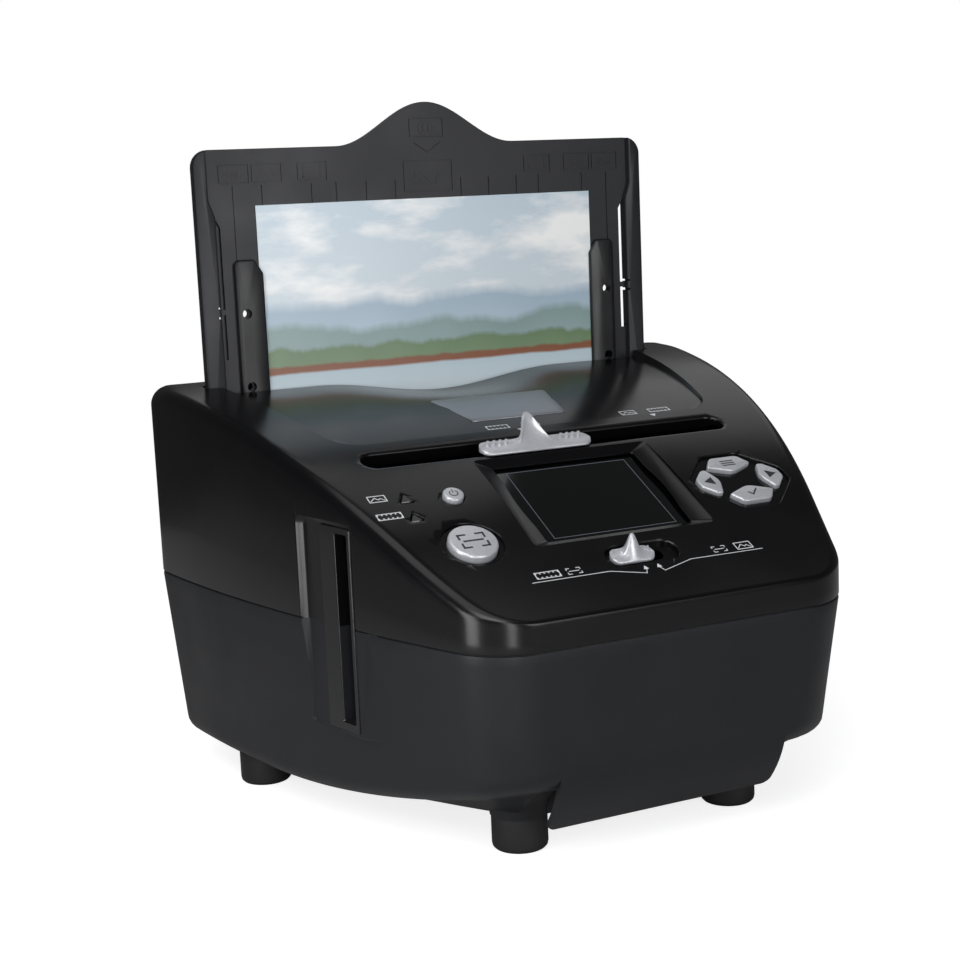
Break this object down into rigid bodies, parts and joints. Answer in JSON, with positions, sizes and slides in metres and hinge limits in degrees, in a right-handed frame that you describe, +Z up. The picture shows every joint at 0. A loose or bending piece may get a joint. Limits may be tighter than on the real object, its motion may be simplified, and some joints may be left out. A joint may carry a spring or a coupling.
{
  "type": "film negative scanner",
  "caption": "Desktop film and photo scanner with a sloping key panel, side film channel, sliding backlight selector and lift-out photo tray.",
  "frame": {"origin": "bottom centre of the object's box, on the surface under the feet", "axes": "+Z up; -Y is the front with the keys and display; +X is the right side seen from the front"},
  "size_m": [0.2422, 0.21, 0.265],
  "materials": {
    "upper_shell": "satin black moulded ABS",
    "lower_shell": "fine satin black moulded ABS",
    "plate": "brushed",
    "display_glass": "clear gloss over black",
    "display": "dark panel",
    "silver_key": "satin silver paint",
    "smoked_lens": "smoked gloss",
    "circuit_board": "solder mask",
    "switch": "moulded",
    "inner_black": "matte moulded",
    "diffuser": "opal",
    "steel": "plain",
    "clear_glass": "clear",
    "bezel": "gloss black",
    "tray": "fine texture black",
    "print": "glossy photo print",
    "foot_rubber": "matte"
  },
  "bodies": {
    "case": {"upper_housing": "upper_shell", "lower_housing": "lower_shell", "name_plate": "plate", "lcd_window": "display_glass", "lcd_module": "display", "photo_led_lens": "smoked_lens", "film_led_lens": "smoked_lens", "left_key_board": "circuit_board", "right_key_board": "circuit_board", "tact_switches": "switch", "carriage_rails": "steel", "lens_barrel": "inner_black", "lens_mount": "inner_black", "sensor_board": "circuit_board", "film_guide_front": "inner_black", "film_guide_rear": "inner_black", "film_bezel_left": "bezel", "film_bezel_right": "bezel", "photo_window_frame": "inner_black", "photo_glass": "clear_glass", "light_bars": "diffuser", "tray_runner_left": "inner_black", "tray_runner_right": "inner_black", "main_board": "circuit_board", "usb_socket": "steel", "card_socket": "steel", "rubber_feet": "foot_rubber", "housing_screws": "steel"},
    "power_button": {"power_button": "silver_key"},
    "scan_button": {"scan_button": "silver_key"},
    "mode_key": {"mode_key": "silver_key"},
    "left_key": {"left_key": "silver_key"},
    "right_key": {"right_key": "silver_key"},
    "enter_key": {"enter_key": "silver_key"},
    "backlight": {"selector_knob": "silver_key", "backlight_carriage": "inner_black", "backlight_diffuser": "diffuser"},
    "lens_switch": {"lens_switch_knob": "silver_key", "closeup_slider": "inner_black", "closeup_lens": "clear_glass"},
    "tray": {"photo_tray": "tray"},
    "guide_left": {"tray_guide_left": "tray"},
    "guide_right": {"tray_guide_right": "tray"},
    "print": {"photo_print": "print"}
  },
  "joints": [
    {"name": "power_press", "type": "slide", "parent": "case", "child": "power_button", "axis": [0, 0.4756, -0.8797], "range_m": [0, 0.0008], "stiffness_N_per_m": 600, "springref_m": -0.0005},
    {"name": "scan_press", "type": "slide", "parent": "case", "child": "scan_button", "axis": [0, 0.4756, -0.8797], "range_m": [0, 0.0008], "stiffness_N_per_m": 600, "springref_m": -0.0005},
    {"name": "mode_press", "type": "slide", "parent": "case", "child": "mode_key", "axis": [0, 0.4657, -0.885], "range_m": [0, 0.0008], "stiffness_N_per_m": 600, "springref_m": -0.0005},
    {"name": "left_press", "type": "slide", "parent": "case", "child": "left_key", "axis": [0, 0.4657, -0.885], "range_m": [0, 0.0008], "stiffness_N_per_m": 600, "springref_m": -0.0005},
    {"name": "right_press", "type": "slide", "parent": "case", "child": "right_key", "axis": [0, 0.4657, -0.885], "range_m": [0, 0.0008], "stiffness_N_per_m": 600, "springref_m": -0.0005},
    {"name": "enter_press", "type": "slide", "parent": "case", "child": "enter_key", "axis": [0, 0.4657, -0.885], "range_m": [0, 0.0008], "stiffness_N_per_m": 600, "springref_m": -0.0005},
    {"name": "source_select", "type": "slide", "parent": "case", "child": "backlight", "axis": [1, 0, 0], "range_m": [0, 0.058]},
    {"name": "lens_select", "type": "slide", "parent": "case", "child": "lens_switch", "axis": [1, 0, 0], "range_m": [0, 0.006]},
    {"name": "tray_slide", "type": "slide", "parent": "case", "child": "tray", "axis": [0, 0, 1], "range_m": [-0.094, 0.03]},
    {"name": "guide_left_slide", "type": "slide", "parent": "tray", "child": "guide_left", "axis": [-1, 0, 0], "range_m": [0, 0.004]},
    {"name": "guide_right_slide", "type": "slide", "parent": "tray", "child": "guide_right", "axis": [1, 0, 0], "range_m": [0, 0.004]},
    {"name": "print_lift", "type": "slide", "parent": "tray", "child": "print", "axis": [0, 0, 1], "range_m": [0, 0.06]}
  ]
}
